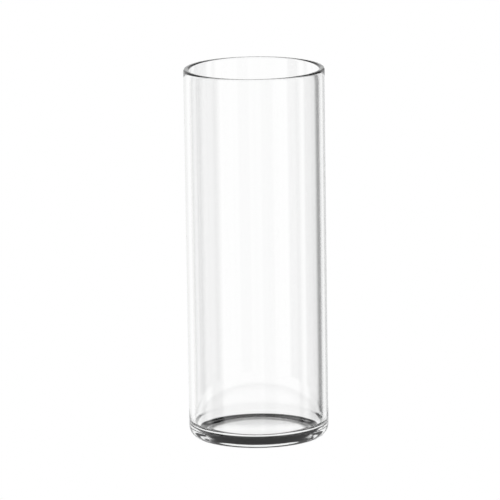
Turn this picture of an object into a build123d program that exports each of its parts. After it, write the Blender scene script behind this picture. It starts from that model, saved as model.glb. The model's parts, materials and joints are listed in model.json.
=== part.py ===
"""Glass cylinder vase: one clear, thick-walled body with a heavy base and an open top.

The part stands on +Z, with the origin at the centre of its standing face. The body is a
single piece of glass, so it is one solid, turned from one half section: underside, heel,
wall, rim, inside wall and inside floor. Millimetres.
"""

from build123d import *
import os

# Driving dimensions
height = 265.0  # from the standing face to the top of the rim
outer_diameter = 100.0
wall = 3.9  # thickness of the straight wall
base_thickness = 2.3  # from the standing face to the outer edge of the inside floor
floor_dish = 0.5  # how much lower the middle of the inside floor lies than its edge
corner_width = 10.1  # the thick, sloping corner between inside floor and wall, across
corner_height = 9.4  # the same corner, upwards
corner_fullness = 0.31  # how rounded that corner is: 0 is a plain slope, 0.55 an oval
heel_width = 4.1  # rounding between the outside wall and the underside, across
heel_height = 6.9  # the same rounding, upwards
push_up = 0.2  # depth of the flat hollow in the underside
shoulder_width = 1.4  # the soft step between that hollow and the standing ring
standing_ring_width = 8.3  # the flat ring that the vase stands on
rim_radius = 1.5  # rounding left on both edges of the rim by fire-polishing

# Worked out from the driving dimensions
outer_radius = outer_diameter / 2
inner_radius = outer_radius - wall
floor_radius = inner_radius - corner_width
corner_top = base_thickness + corner_height
ring_outside = outer_radius - heel_width
ring_inside = ring_outside - standing_ring_width
hollow_radius = ring_inside - shoulder_width

with BuildPart() as vase:
    with BuildSketch(Plane.XZ) as half_section:
        with BuildLine() as outline:
            # The underside: a shallow hollow and the flat ring that the vase stands on
            hollow = Line((0, push_up), (hollow_radius, push_up))
            shoulder = Bezier(
                hollow @ 1,
                (hollow_radius + shoulder_width / 3, push_up),
                (hollow_radius + shoulder_width * 2 / 3, 0),
                (ring_inside, 0),
            )
            ring = Line(shoulder @ 1, (ring_outside, 0))
            # The outside: a rounded heel and a straight wall
            heel = EllipticalCenterArc(
                center=(ring_outside, heel_height),
                x_radius=heel_width,
                y_radius=heel_height,
                start_angle=270,
                arc_size=90,
            )
            outside_wall = Line(heel @ 1, (outer_radius, height))
            # The inside: a straight wall, a sloping corner and a slightly dished floor
            mouth = Line(outside_wall @ 1, (inner_radius, height))
            inside_wall = Line(mouth @ 1, (inner_radius, corner_top))
            corner = Bezier(
                inside_wall @ 1,
                (inner_radius, corner_top - corner_height * corner_fullness),
                (floor_radius + corner_width * corner_fullness, base_thickness),
                (floor_radius, base_thickness),
            )
            floor = Bezier(
                corner @ 1,
                (floor_radius / 2, base_thickness - floor_dish),
                (0, base_thickness - floor_dish),
            )
            Line(floor @ 1, hollow @ 0)
        make_face()
    revolve(axis=Axis.Z)

    # The rim: both edges rounded by the flame
    rim_edges = vase.edges().group_by(Axis.Z)[-1]
    fillet(rim_edges, radius=rim_radius)

vase.part.label = "vase_body"

os.makedirs("parts", exist_ok=True)
export_step(vase.part, "parts/vase_body.step")

print("volume, cm3:", round(vase.part.volume / 1000, 1))
print("solids:", len(vase.part.solids()), "size:", vase.part.bounding_box().size)
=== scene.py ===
import json
import math

import bpy
from bpy.props import FloatProperty, IntProperty, PointerProperty, StringProperty
from mathutils import Matrix, Vector


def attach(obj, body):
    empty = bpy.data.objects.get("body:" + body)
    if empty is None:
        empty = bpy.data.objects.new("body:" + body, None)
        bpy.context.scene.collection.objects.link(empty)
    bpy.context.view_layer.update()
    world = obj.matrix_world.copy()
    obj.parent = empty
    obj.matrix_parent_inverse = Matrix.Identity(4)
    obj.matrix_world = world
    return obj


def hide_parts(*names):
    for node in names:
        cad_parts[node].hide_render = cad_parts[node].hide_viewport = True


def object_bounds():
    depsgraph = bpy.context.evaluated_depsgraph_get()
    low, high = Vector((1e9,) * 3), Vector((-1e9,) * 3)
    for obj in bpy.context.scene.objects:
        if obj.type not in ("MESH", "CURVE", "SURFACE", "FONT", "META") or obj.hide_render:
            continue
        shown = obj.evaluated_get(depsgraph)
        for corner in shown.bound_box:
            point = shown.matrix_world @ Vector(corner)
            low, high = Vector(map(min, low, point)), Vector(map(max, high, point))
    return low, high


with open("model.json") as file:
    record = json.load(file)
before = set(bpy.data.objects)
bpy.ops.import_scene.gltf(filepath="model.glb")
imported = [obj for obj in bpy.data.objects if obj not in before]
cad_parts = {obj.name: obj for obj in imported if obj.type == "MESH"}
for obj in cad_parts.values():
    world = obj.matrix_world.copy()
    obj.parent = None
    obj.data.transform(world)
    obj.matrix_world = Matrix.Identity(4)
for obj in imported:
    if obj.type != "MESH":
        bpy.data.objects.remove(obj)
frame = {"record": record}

bl_info = {
    "name": "Glass Cylinder Vase",
    "version": (1, 0, 0),
    "blender": (4, 5, 0),
    "location": "3D View > Sidebar > Vase",
    "description": "Turns a clear glass cylinder vase and lights it in a white tent",
    "category": "Add Mesh",
}

MM = 0.001

# The vase's outside, from the frame
CAD_LOW, CAD_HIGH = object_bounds()
OUTER_RADIUS = (CAD_HIGH.x - CAD_LOW.x) / 2 / MM
HEIGHT = (CAD_HIGH.z - CAD_LOW.z) / MM
BORE_RADIUS = next(m for m in frame["record"]["mounts"] if m["name"] == "mouth")["dims"]["r_mm"]

# Steps in the vase's outline and around it
TURNS = 240
ROUND_STEPS = 12
SWEEP_STEPS = 28
DISH_STEPS = 24
WALL_STEP = 5.0
# Points closer together than this are one point, in mm
WELD = 0.002

# The tent around the vase is white but for these flags and gaps, which draw the glass's
# lines: bearing from straight behind it, towards +X, half width and soft edge, all in degrees,
# and light
TENT_FLAGS = (
    ("dark flag, left", -106.5, 10.5, 2.0, 0.0),
    ("narrow gap, left", -75.0, 3.0, 4.0, 0.2),
    ("soft fold, behind", -18.0, 5.0, 4.0, 0.85),
    ("thin pole, behind", 18.0, 2.5, 4.0, 0.35),
    ("dark flag, right", 63.5, 20.5, 4.0, 0.0),
    ("narrow gap, right", 102.0, 2.0, 4.0, 0.2),
    ("open side", 160.0, 8.0, 4.0, 0.65),
)
TENT_FRONT = 0.85
# The tent's light upwards: elevation in degrees, and brightness
TENT_UP = ((-90, 1.0), (12, 1.0), (26, 0.3), (36, 0.02), (90, 0.02))
# The table's light under the base, with a painted shadow, a dark ring under the base: distance from the
# axis in mm, and brightness
TABLE_PAINTED_SHADOW_RING = ((0, 1.0), (32, 1.0), (34.5, 0.0), (45, 0.0), (46.2, 1.0), (80, 1.0))
TABLE_REACH = 80.0
# The table lies this far below the standing face, in mm, so that glass and table don't touch
TABLE_GAP = 0.1

# How often light may pass through the glass, and mirror off it. Few passes leave the rim grey.
GLASS_PASSES = 16
MIRRORINGS = 12
# The camera's far limit, in metres
FAR_LIMIT = 50.0


class VaseSizes(bpy.types.PropertyGroup):
    """The vase's own sizes, in millimetres."""

    floor_height: FloatProperty(
        name="Floor",
        description="From the standing face to the outer edge of the inside floor",
        default=2.3,
    )
    floor_dish: FloatProperty(
        name="Dish", description="How much lower the middle of the inside floor lies", default=0.5
    )
    dish_power: FloatProperty(
        name="Dish curve", description="2 is an even bowl, more is flatter in the middle", default=2.0
    )
    corner_width: FloatProperty(
        name="Corner width", description="How far the inside corner reaches in from the wall", default=10.1
    )
    corner_height: FloatProperty(
        name="Corner height", description="How far the inside corner reaches up the wall", default=9.4
    )
    corner_fullness: FloatProperty(
        name="Corner fullness", description="0 is a plain slope, 0.55 an oval", default=0.31
    )
    heel_width: FloatProperty(
        name="Heel width", description="Rounding of the heel, across", default=4.1
    )
    heel_height: FloatProperty(
        name="Heel height", description="Rounding of the heel, upwards", default=6.9
    )
    push_up: FloatProperty(
        name="Push-up", description="Depth of the flat hollow in the underside", default=0.2
    )
    hollow_radius: FloatProperty(
        name="Hollow", description="From the axis to the step beside the standing ring", default=36.2
    )
    shoulder_width: FloatProperty(
        name="Step width", description="The step between the hollow and the standing ring", default=1.4
    )
    rim_radius: FloatProperty(
        name="Rim", description="Rounding that the flame leaves on each edge of the rim", default=1.5
    )
    turns: IntProperty(
        name="Turns", description="Steps around the axis", default=TURNS, min=24
    )


class GlassFinish(bpy.types.PropertyGroup):
    """The glass itself."""

    tint: StringProperty(
        name="Tint",
        description="Colour that white light takes on in thick glass, sRGB hex",
        default="F4FAF8",
    )
    index: FloatProperty(
        name="IOR", description="Refractive index of soda-lime glass", default=1.52
    )
    absorption: FloatProperty(
        name="Absorption", description="How strongly thick glass takes on its tint, per metre", default=4.0
    )


class TentLook(bpy.types.PropertyGroup):
    """The camera and the white tent."""

    distance: FloatProperty(
        name="Distance",
        description="From the camera to the vase, along the table",
        default=3.12,
        unit="LENGTH",
    )
    pitch: FloatProperty(
        name="Pitch",
        description="How far the camera looks down",
        default=math.radians(11.97),
        subtype="ANGLE",
    )
    roll: FloatProperty(
        name="Roll", description="How far the camera leans", default=math.radians(0.84), subtype="ANGLE"
    )
    lens: FloatProperty(name="Lens", description="Focal length, mm", default=322.6)
    aim_side: FloatProperty(
        name="Aim, sideways",
        description="How far left of the vase's middle the camera aims, mm",
        default=4.6,
    )
    aim_up: FloatProperty(
        name="Aim, upwards", description="How far above the vase's middle the camera aims, mm", default=1.1
    )
    white: StringProperty(name="White", description="The tent's white, sRGB hex", default="FFFFFF")


def linear(hex_colour):
    """An sRGB hex colour as linear RGBA."""
    parts = [int(hex_colour[i:i + 2], 16) / 255 for i in (0, 2, 4)]
    return [p / 12.92 if p <= 0.04045 else ((p + 0.055) / 1.055) ** 2.4 for p in parts] + [1.0]


def add_node(tree, kind, inputs=None, **settings):
    """Adds a node, with its settings, its values and its links."""
    made = tree.nodes.new(kind)
    for name, value in settings.items():
        setattr(made, name, value)
    for socket, value in (inputs or {}).items():
        if isinstance(value, bpy.types.NodeSocket):
            tree.links.new(value, made.inputs[socket])
        else:
            made.inputs[socket].default_value = value
    return made


def set_stops(ramp, stops, low, high):
    """Gives a colour ramp its grey stops, for a value that runs from low to high."""
    elements = ramp.color_ramp.elements
    while len(elements) > 1:
        elements.remove(elements[-1])
    for i, (place, grey) in enumerate(stops):
        position = (place - low) / (high - low)
        element = elements[0] if i == 0 else elements.new(position)
        element.position = position
        element.color = (grey, grey, grey, 1.0)


def arc(centre, width, height, start, end, steps):
    """Points on a round or oval arc in the outline, from one angle to the other."""
    angles = [math.radians(start + (end - start) * i / steps) for i in range(steps + 1)]
    return [(centre[0] + width * math.cos(a), centre[1] + height * math.sin(a)) for a in angles]


def rise(radius, low, high):
    """Points up or down a straight wall, close enough together to shade evenly."""
    steps = math.ceil(abs(high - low) / WALL_STEP)
    return [(radius, low + (high - low) * i / steps) for i in range(1, steps)]


def bend(start, toward, away, end, steps):
    """Points on a Bezier curve, past its start."""
    points = []
    for i in range(1, steps + 1):
        t = i / steps
        shares = ((1 - t) ** 3, 3 * t * (1 - t) ** 2, 3 * t * t * (1 - t), t ** 3)
        corners = (start, toward, away, end)
        points.append(tuple(sum(k * p[axis] for k, p in zip(shares, corners)) for axis in (0, 1)))
    return points


def vase_outline(sizes):
    """The half section, from the axis underneath, out, up, over the rim and back to the axis."""
    rim = sizes.rim_radius
    hollow, step = sizes.hollow_radius, sizes.shoulder_width
    low = sizes.push_up
    ring_end = OUTER_RADIUS - sizes.heel_width
    edge, floor = sizes.floor_height, BORE_RADIUS - sizes.corner_width
    top = edge + sizes.corner_height
    lean_in = sizes.corner_width * sizes.corner_fullness
    lean_down = sizes.corner_height * sizes.corner_fullness
    shares = [i / DISH_STEPS for i in range(DISH_STEPS + 1)]

    outline = [(hollow * s, low) for s in shares]
    outline += bend(
        (hollow, low),
        (hollow + step / 3, low),
        (hollow + step * 2 / 3, 0),
        (hollow + step, 0),
        ROUND_STEPS,
    )
    outline += arc(
        (ring_end, sizes.heel_height), sizes.heel_width, sizes.heel_height, -90, 0, SWEEP_STEPS
    )
    outline += rise(OUTER_RADIUS, sizes.heel_height, HEIGHT - rim)
    outline += arc((OUTER_RADIUS - rim, HEIGHT - rim), rim, rim, 0, 90, ROUND_STEPS)
    outline += arc((BORE_RADIUS + rim, HEIGHT - rim), rim, rim, 90, 180, ROUND_STEPS)
    outline += rise(BORE_RADIUS, HEIGHT - rim, top)
    outline += [(BORE_RADIUS, top)]
    outline += bend(
        (BORE_RADIUS, top),
        (BORE_RADIUS, top - lean_down),
        (floor + lean_in, edge),
        (floor, edge),
        SWEEP_STEPS,
    )
    outline += [
        (floor * s, edge - sizes.floor_dish * (1 - s ** sizes.dish_power)) for s in reversed(shares[:-1])
    ]
    return outline


def draw_outline(outline):
    """Draws the outline by hand: a corner of a small plane, extruded from point to point."""
    first = Vector((outline[0][0], 0, outline[0][1])) * MM
    bpy.ops.mesh.primitive_plane_add(size=1 * MM, location=first)
    bpy.ops.object.mode_set(mode="EDIT")
    bpy.ops.mesh.select_all(action="SELECT")
    bpy.ops.mesh.merge(type="CENTER")
    here = first
    for radius, height in outline[1:]:
        there = Vector((radius, 0, height)) * MM
        bpy.ops.mesh.extrude_region_move(TRANSFORM_OT_translate={"value": there - here})
        here = there


def clear_glass(finish):
    """Clear soda-lime glass, pressed and fire-polished: no texture of its own, so the eye
    sees only what it bends and mirrors, with a breath of tint where it is thick."""
    glass = bpy.data.materials.new("soda_lime_glass_fire_polished")
    glass.use_nodes = True
    tree = glass.node_tree
    tree.nodes.clear()
    surface = add_node(
        tree,
        "ShaderNodeBsdfPrincipled",
        {
            "Base Color": linear("FFFFFF"),
            "Roughness": 0.0,
            "IOR": finish.index,
            "Transmission Weight": 1.0,
        },
    )
    depth = add_node(
        tree, "ShaderNodeVolumeAbsorption", {"Color": linear(finish.tint), "Density": finish.absorption}
    )
    add_node(
        tree,
        "ShaderNodeOutputMaterial",
        {"Surface": surface.outputs["BSDF"], "Volume": depth.outputs["Volume"]},
    )
    return glass


class VASE_OT_body(bpy.types.Operator):
    """Turns the vase's glass body from its outline"""

    bl_idname = "vase.body"
    bl_label = "Glass body"

    def execute(self, context):
        sizes = context.scene.vase_sizes
        bpy.ops.object.select_all(action="DESELECT")
        draw_outline(vase_outline(sizes))
        bpy.ops.mesh.select_all(action="SELECT")
        bpy.ops.mesh.spin(
            steps=sizes.turns, angle=2 * math.pi, center=(0, 0, 0), axis=(0, 0, 1), use_auto_merge=True
        )
        bpy.ops.mesh.select_all(action="SELECT")
        bpy.ops.mesh.remove_doubles(threshold=WELD * MM)
        bpy.ops.mesh.normals_make_consistent(inside=False)
        bpy.ops.object.mode_set(mode="OBJECT")
        body = context.object
        body.name = "glass_body"
        bpy.ops.object.transform_apply(location=True, rotation=True, scale=True)
        bpy.ops.object.shade_smooth()
        body.data.materials.append(clear_glass(context.scene.vase_glass))
        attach(body, "root")
        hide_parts("vase_body")
        return {"FINISHED"}


def lit_table():
    """White acrylic, lit from below: even, but for a painted shadow, a dark ring under the base. The glass
    shows that painted shadow to the eye as the black band at the vase's foot."""
    acrylic = bpy.data.materials.new("white_acrylic_lit_painted_shadow_ring")
    acrylic.use_nodes = True
    tree = acrylic.node_tree
    tree.nodes.clear()
    place = add_node(tree, "ShaderNodeTexCoord")
    reach = add_node(tree, "ShaderNodeVectorMath", {0: place.outputs["Object"]}, operation="LENGTH")
    share = add_node(
        tree, "ShaderNodeMath", {0: reach.outputs["Value"], 1: TABLE_REACH * MM}, operation="DIVIDE"
    )
    # Painted shadow: a dark ring on the table under the base, by distance from the axis
    painted_shadow_ring = add_node(tree, "ShaderNodeValToRGB", {0: share.outputs[0]})
    set_stops(painted_shadow_ring, TABLE_PAINTED_SHADOW_RING, 0, TABLE_REACH)
    light = add_node(tree, "ShaderNodeEmission", {"Color": painted_shadow_ring.outputs["Color"], "Strength": 1.0})
    add_node(tree, "ShaderNodeOutputMaterial", {"Surface": light.outputs["Emission"]})
    return acrylic


def tent_stops():
    """The tent's light by bearing: white, with each flag and its soft edges."""
    stops = [(-180, TENT_FRONT)]
    for _, bearing, half, edge, light in TENT_FLAGS:
        stops += [
            (bearing - half - edge, 1.0), (bearing - half, light), (bearing + half, light),
            (bearing + half + edge, 1.0),
        ]
    return stops + [(180, TENT_FRONT)]


def white_tent(look):
    """The soft white tent: panels with gaps around the vase, open and dark overhead."""
    tent = bpy.data.worlds.new("white_tent")
    bpy.context.scene.world = tent
    tent.use_nodes = True
    tree = tent.node_tree
    tree.nodes.clear()
    toward = add_node(tree, "ShaderNodeTexCoord")
    axes = add_node(tree, "ShaderNodeSeparateXYZ", {0: toward.outputs["Generated"]})
    height = add_node(tree, "ShaderNodeMath", {0: axes.outputs["Z"]}, operation="ARCSINE")
    bearing = add_node(
        tree, "ShaderNodeMath", {0: axes.outputs["X"], 1: axes.outputs["Y"]}, operation="ARCTAN2"
    )
    upward = add_node(
        tree,
        "ShaderNodeMapRange",
        {"Value": height.outputs[0], "From Min": -math.pi / 2, "From Max": math.pi / 2},
    )
    around = add_node(
        tree,
        "ShaderNodeMapRange",
        {"Value": bearing.outputs[0], "From Min": -math.pi, "From Max": math.pi},
    )
    roof = add_node(tree, "ShaderNodeValToRGB", {0: upward.outputs["Result"]})
    set_stops(roof, TENT_UP, -90, 90)
    panels = add_node(tree, "ShaderNodeValToRGB", {0: around.outputs["Result"]})
    set_stops(panels, tent_stops(), -180, 180)
    both = add_node(
        tree,
        "ShaderNodeMath",
        {0: roof.outputs["Color"], 1: panels.outputs["Color"]},
        operation="MULTIPLY",
    )
    sky = add_node(
        tree, "ShaderNodeBackground", {"Color": linear(look.white), "Strength": both.outputs[0]}
    )
    add_node(tree, "ShaderNodeOutputWorld", {"Surface": sky.outputs["Background"]})


def tent_camera(look):
    """A long lens, a little above the vase."""
    lens = bpy.data.cameras.new("camera")
    lens.lens = look.lens
    lens.clip_end = FAR_LIMIT
    camera = bpy.data.objects.new("camera", lens)
    bpy.context.scene.collection.objects.link(camera)
    bpy.context.scene.camera = camera
    back = Vector((0, -math.cos(look.pitch), math.sin(look.pitch)))
    level = (-back).to_track_quat("-Z", "Y").to_matrix()
    aim = Vector((0, 0, HEIGHT / 2 * MM))
    aim += level @ Vector((-look.aim_side * MM, look.aim_up * MM, 0))
    camera.location = aim + back * (look.distance / math.cos(look.pitch))
    camera.rotation_euler = (level @ Matrix.Rotation(-look.roll, 3, "Z")).to_euler()


class VASE_OT_stage(bpy.types.Operator):
    """Sets out the lit table, the white tent and the camera"""

    bl_idname = "vase.stage"
    bl_label = "Table, tent and camera"

    def execute(self, context):
        look = context.scene.vase_tent
        bpy.ops.object.select_all(action="DESELECT")
        bpy.ops.mesh.primitive_circle_add(
            vertices=TURNS,
            radius=TABLE_REACH * MM,
            fill_type="NGON",
            location=(0, 0, CAD_LOW.z - TABLE_GAP * MM),
        )
        table = context.object
        table.name = "table"
        table.data.materials.append(lit_table())
        white_tent(look)
        tent_camera(look)
        context.scene.view_settings.view_transform = "Standard"
        cycles = context.scene.cycles
        cycles.max_bounces = GLASS_PASSES
        cycles.transmission_bounces = GLASS_PASSES
        cycles.glossy_bounces = MIRRORINGS
        return {"FINISHED"}


class VASE_PT_sidebar(bpy.types.Panel):
    """The vase's sizes and the buttons that make it"""

    bl_label = "Glass cylinder vase"
    bl_idname = "VASE_PT_sidebar"
    bl_space_type = "VIEW_3D"
    bl_region_type = "UI"
    bl_category = "Vase"

    def draw(self, context):
        for group in (context.scene.vase_sizes, context.scene.vase_glass, context.scene.vase_tent):
            box = self.layout.box()
            for name in group.__annotations__:
                box.prop(group, name)
        self.layout.operator(VASE_OT_body.bl_idname)
        self.layout.operator(VASE_OT_stage.bl_idname)


CLASSES = (VaseSizes, GlassFinish, TentLook, VASE_OT_body, VASE_OT_stage, VASE_PT_sidebar)


def register():
    for cls in CLASSES:
        bpy.utils.register_class(cls)
    bpy.types.Scene.vase_sizes = PointerProperty(type=VaseSizes)
    bpy.types.Scene.vase_glass = PointerProperty(type=GlassFinish)
    bpy.types.Scene.vase_tent = PointerProperty(type=TentLook)


def unregister():
    del bpy.types.Scene.vase_tent
    del bpy.types.Scene.vase_glass
    del bpy.types.Scene.vase_sizes
    for cls in reversed(CLASSES):
        bpy.utils.unregister_class(cls)


def main():
    register()
    bpy.ops.vase.body()
    bpy.ops.vase.stage()


if __name__ == "__main__":
    main()
